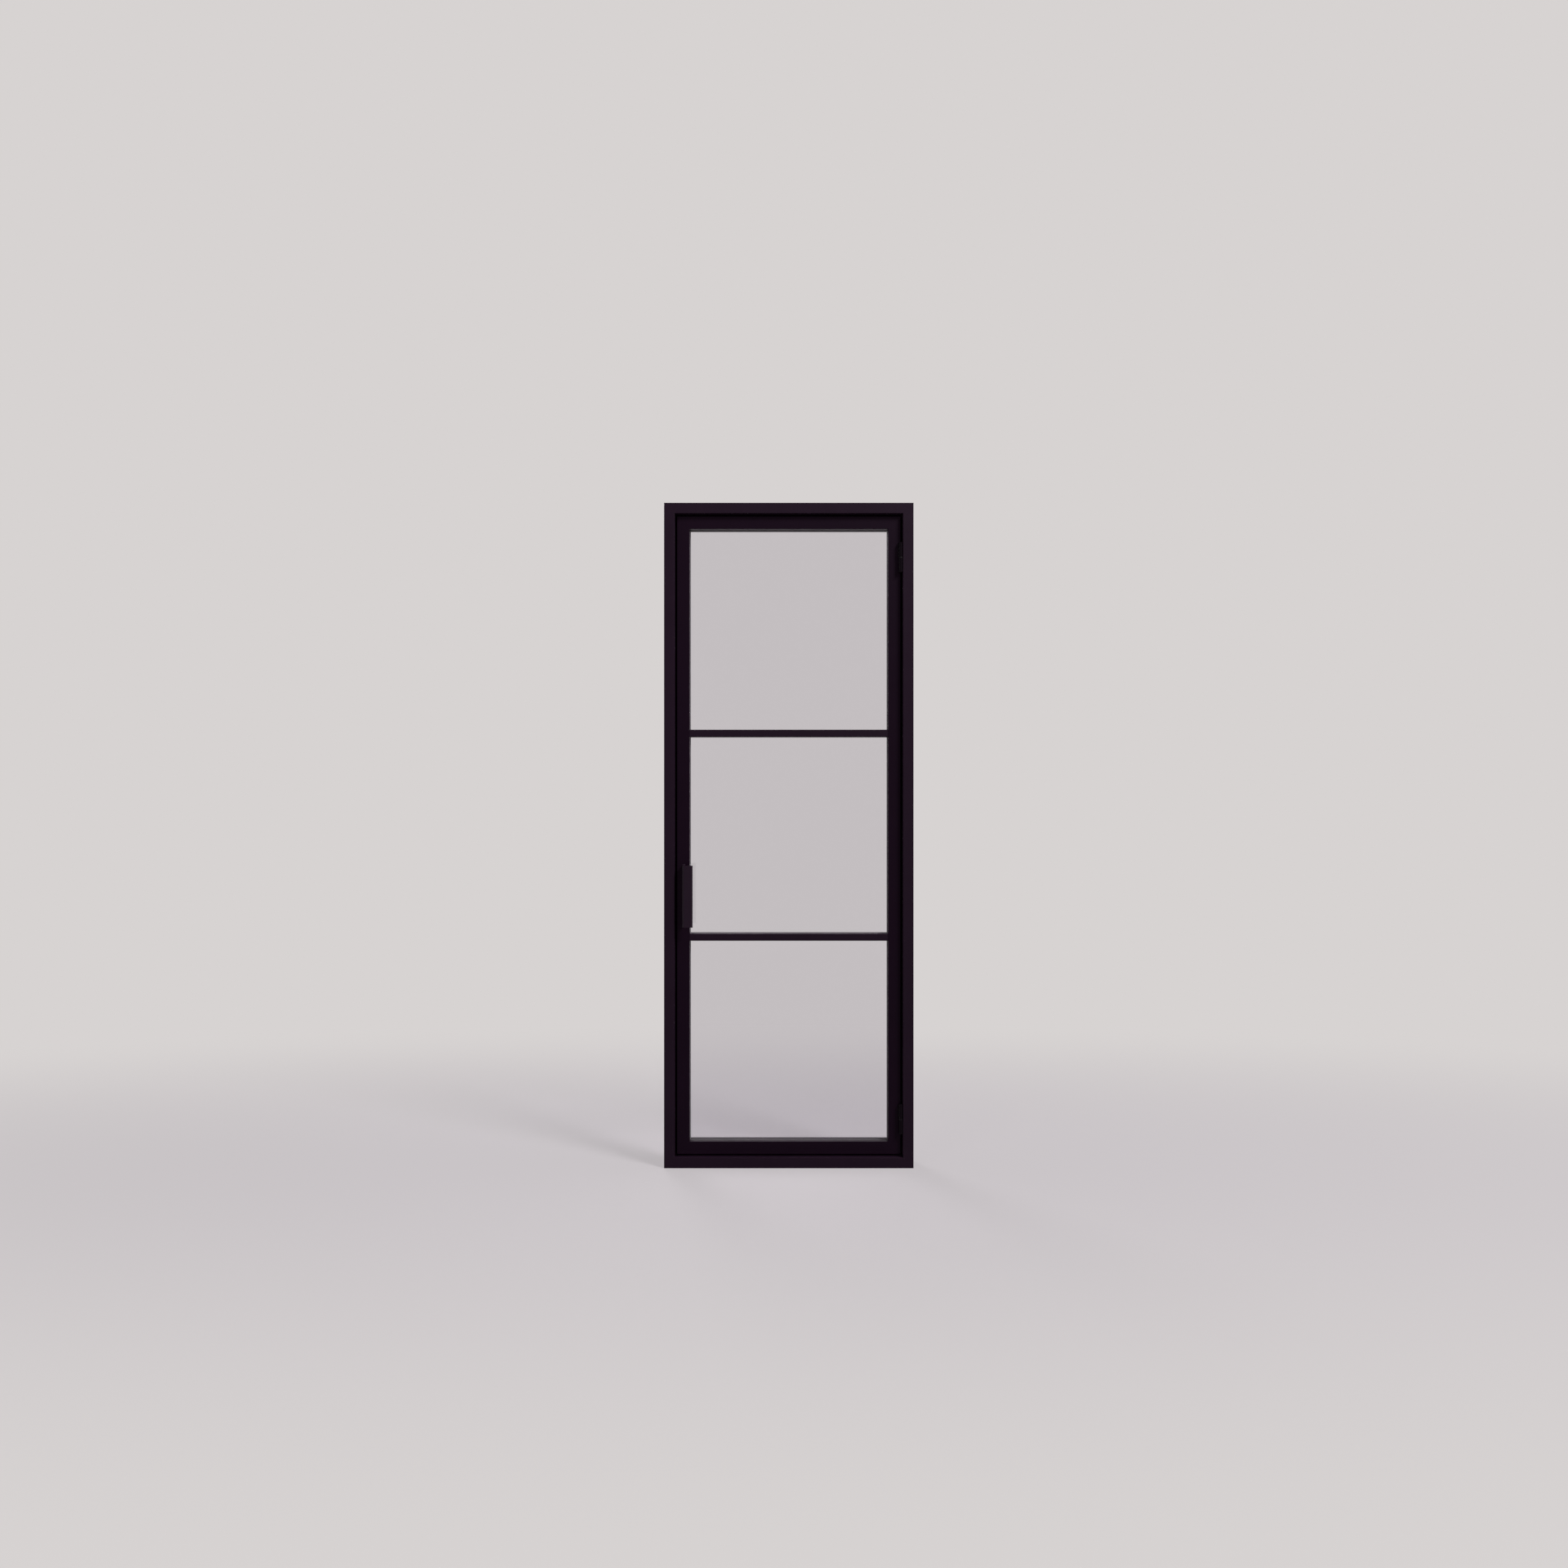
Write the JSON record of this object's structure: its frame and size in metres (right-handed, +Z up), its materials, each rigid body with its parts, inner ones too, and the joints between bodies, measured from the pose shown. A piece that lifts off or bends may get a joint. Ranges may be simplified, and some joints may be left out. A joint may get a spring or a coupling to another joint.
{
  "type": "glazed steel door with frame",
  "caption": "Single glazed steel door in a four-sided tube frame, with lift-off barrel hinges, slim glazing bars and a flat pull handle on the front.",
  "frame": {"origin": "on the floor, at the middle of the sill's underside", "axes": "+Z up, +Y from the front (the side the leaf opens to) to the back, +X towards the hinges"},
  "size_m": [0.9, 0.102, 2.4],
  "materials": {
    "frame_steel": "black powder coat, satin, with a faint aubergine cast",
    "leaf_steel": "black powder coat, satin, with a faint aubergine cast",
    "hinge_steel": "black powder coat, satin, with a faint aubergine cast",
    "pull_steel": "black powder coat, satin, with a faint aubergine cast",
    "glass": "clear tempered glass",
    "rubber": "black rubber",
    "washer_nylon": "black nylon"
  },
  "bodies": {
    "frame": {"frame_head": "frame_steel", "frame_sill": "frame_steel", "frame_jamb_latch": "frame_steel", "frame_jamb_hinge": "frame_steel", "stop_head": "frame_steel", "stop_sill": "frame_steel", "stop_latch": "frame_steel", "stop_hinge": "frame_steel", "seal_head": "rubber", "seal_sill": "rubber", "seal_latch": "rubber", "seal_hinge": "rubber", "hinge_upper_pin_half": "hinge_steel", "hinge_lower_pin_half": "hinge_steel", "hinge_upper_washer": "washer_nylon", "hinge_lower_washer": "washer_nylon"},
    "leaf": {"hinge_upper_leaf_half": "hinge_steel", "hinge_lower_leaf_half": "hinge_steel", "leaf_top_rail": "leaf_steel", "leaf_bottom_rail": "leaf_steel", "leaf_latch_stile": "leaf_steel", "leaf_hinge_stile": "leaf_steel", "bar_upper": "leaf_steel", "bar_lower": "leaf_steel", "glass_top": "glass", "glass_middle": "glass", "glass_bottom": "glass", "tape_top": "rubber", "tape_middle": "rubber", "tape_bottom": "rubber", "bead_top_upper": "leaf_steel", "bead_top_lower": "leaf_steel", "bead_top_left": "leaf_steel", "bead_top_right": "leaf_steel", "bead_middle_upper": "leaf_steel", "bead_middle_lower": "leaf_steel", "bead_middle_left": "leaf_steel", "bead_middle_right": "leaf_steel", "bead_bottom_upper": "leaf_steel", "bead_bottom_lower": "leaf_steel", "bead_bottom_left": "leaf_steel", "bead_bottom_right": "leaf_steel", "pull_front": "pull_steel"}
  },
  "joints": [
    {"name": "leaf_swing", "type": "hinge", "parent": "frame", "child": "leaf", "pos_m": [0.404, -0.0325, 0], "axis": [0, 0, 1], "range_deg": [0, 150]}
  ]
}
